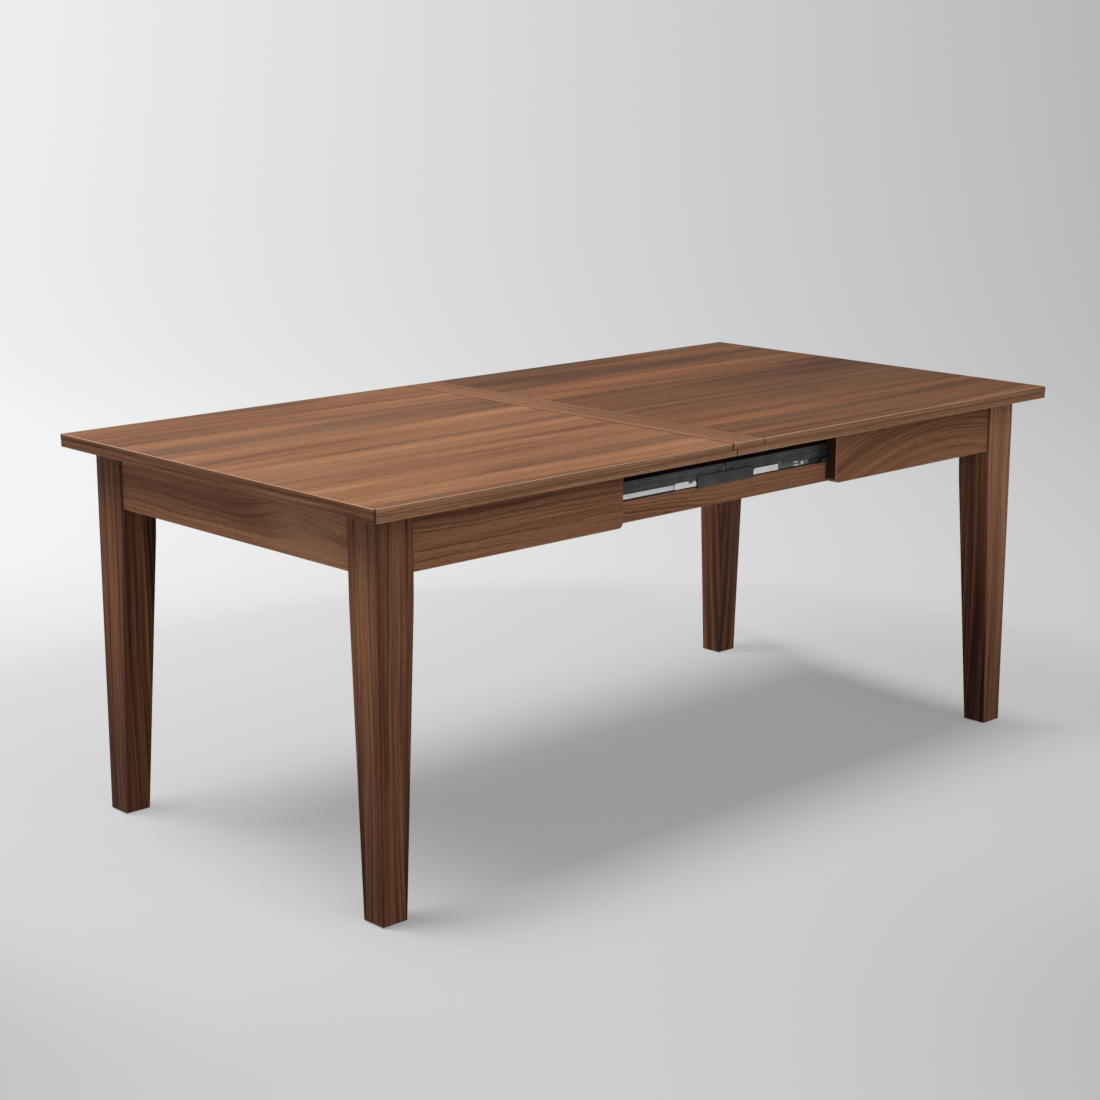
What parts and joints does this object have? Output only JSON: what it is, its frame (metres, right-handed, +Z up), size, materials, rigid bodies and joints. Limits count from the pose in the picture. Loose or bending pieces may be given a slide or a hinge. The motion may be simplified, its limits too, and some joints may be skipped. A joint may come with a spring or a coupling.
{
  "type": "extending table",
  "caption": "Walnut extending table with tapered legs; its two halves draw apart on steel slides over a central carriage that stores a folded leaf.",
  "frame": {"origin": "on the floor, under the middle of the closed table", "axes": "+X along the table, the half with the cross-grain band at +X; front at -Y, with the lock lever; +Z up"},
  "size_m": [1.85, 0.95, 0.75],
  "materials": {
    "walnut_top": "satin oiled walnut, grain along the table",
    "walnut_band": "satin oiled walnut, grain across the table",
    "walnut_edge": "satin oiled walnut edge",
    "walnut_leg": "satin oiled walnut, upright grain",
    "walnut_apron": "satin oiled walnut, grain along the apron",
    "walnut_bearer": "satin oiled walnut, grain along the bearer",
    "inner_wood": "plain sanded beech",
    "black_steel": "black coated steel",
    "zinc_steel": "bright zinc-plated steel",
    "brass": "brushed brass",
    "slide_plastic": "natural acetal",
    "black_plastic": "black moulded plastic"
  },
  "bodies": {
    "carriage": {"bearer_back": "walnut_bearer", "bearer_front": "walnut_bearer", "carriage_rail_inner_left": "inner_wood", "carriage_rail_inner_right": "inner_wood", "carriage_rail_outer_left": "inner_wood", "carriage_rail_outer_right": "inner_wood", "centre_stops": "black_steel", "dust_board": "inner_wood", "equaliser_plate": "zinc_steel", "leaf_hinges": "brass", "leaf_lower": "walnut_top", "leaf_upper": "walnut_top", "lever_pivot": "zinc_steel", "rack_keepers": "slide_plastic", "slide_track_back": "zinc_steel", "slide_track_front": "zinc_steel", "track_packers": "black_plastic", "track_pads": "slide_plastic"},
    "left_half": {"apron_back_left": "walnut_apron", "apron_end_left": "walnut_apron", "apron_front_left": "walnut_apron", "corner_blocks_left": "inner_wood", "edge_strip_back_left": "walnut_edge", "edge_strip_end_left": "walnut_edge", "edge_strip_front_left": "walnut_edge", "foot_glides_left": "black_plastic", "leg_back_left": "walnut_leg", "leg_bolts_left": "zinc_steel", "leg_front_left": "walnut_leg", "rack_left": "zinc_steel", "rail_pads_left": "slide_plastic", "seam_strip_left": "walnut_edge", "slide_rail_back_left": "black_steel", "slide_rail_front_left": "black_steel", "top_batten_left": "inner_wood", "top_brackets_left": "zinc_steel", "top_panel_left": "walnut_top"},
    "right_half": {"apron_back_right": "walnut_apron", "apron_end_right": "walnut_apron", "apron_front_right": "walnut_apron", "corner_blocks_right": "inner_wood", "edge_strip_back_right": "walnut_edge", "edge_strip_end_right": "walnut_edge", "edge_strip_front_right": "walnut_edge", "foot_glides_right": "black_plastic", "leg_back_right": "walnut_leg", "leg_bolts_right": "zinc_steel", "leg_front_right": "walnut_leg", "rack_right": "zinc_steel", "rail_pads_right": "slide_plastic", "seam_strip_right": "walnut_edge", "seam_tongues": "inner_wood", "slide_rail_back_right": "black_steel", "slide_rail_front_right": "black_steel", "top_band": "walnut_band", "top_batten_right": "inner_wood", "top_brackets_right": "zinc_steel", "top_panel_right": "walnut_top"},
    "pinion": {"pinion": "zinc_steel"},
    "lock_lever": {"lock_lever": "black_steel"}
  },
  "joints": [
    {"name": "right_half_slide", "type": "slide", "parent": "carriage", "child": "right_half", "axis": [1, 0, 0], "range_m": [0, 0.25]},
    {"name": "left_half_slide", "type": "slide", "parent": "carriage", "child": "left_half", "axis": [-1, 0, 0], "range_m": [0, 0.25]},
    {"name": "pinion_spin", "type": "hinge", "parent": "carriage", "child": "pinion", "pos_m": [0, 0.3031, 0.6588], "axis": [0, 0, -1], "range_deg": [0, 796]},
    {"name": "lock_lever_pivot", "type": "hinge", "parent": "carriage", "child": "lock_lever", "pos_m": [0.225, -0.3901, 0.6642], "axis": [0, 1, 0], "range_deg": [0, 3.3]}
  ],
  "couplings": [
    {"joint": "left_half_slide", "follows": "right_half_slide", "ratio": 1},
    {"joint": "pinion_spin", "follows": "right_half_slide", "rad_per_m": 55.556}
  ]
}
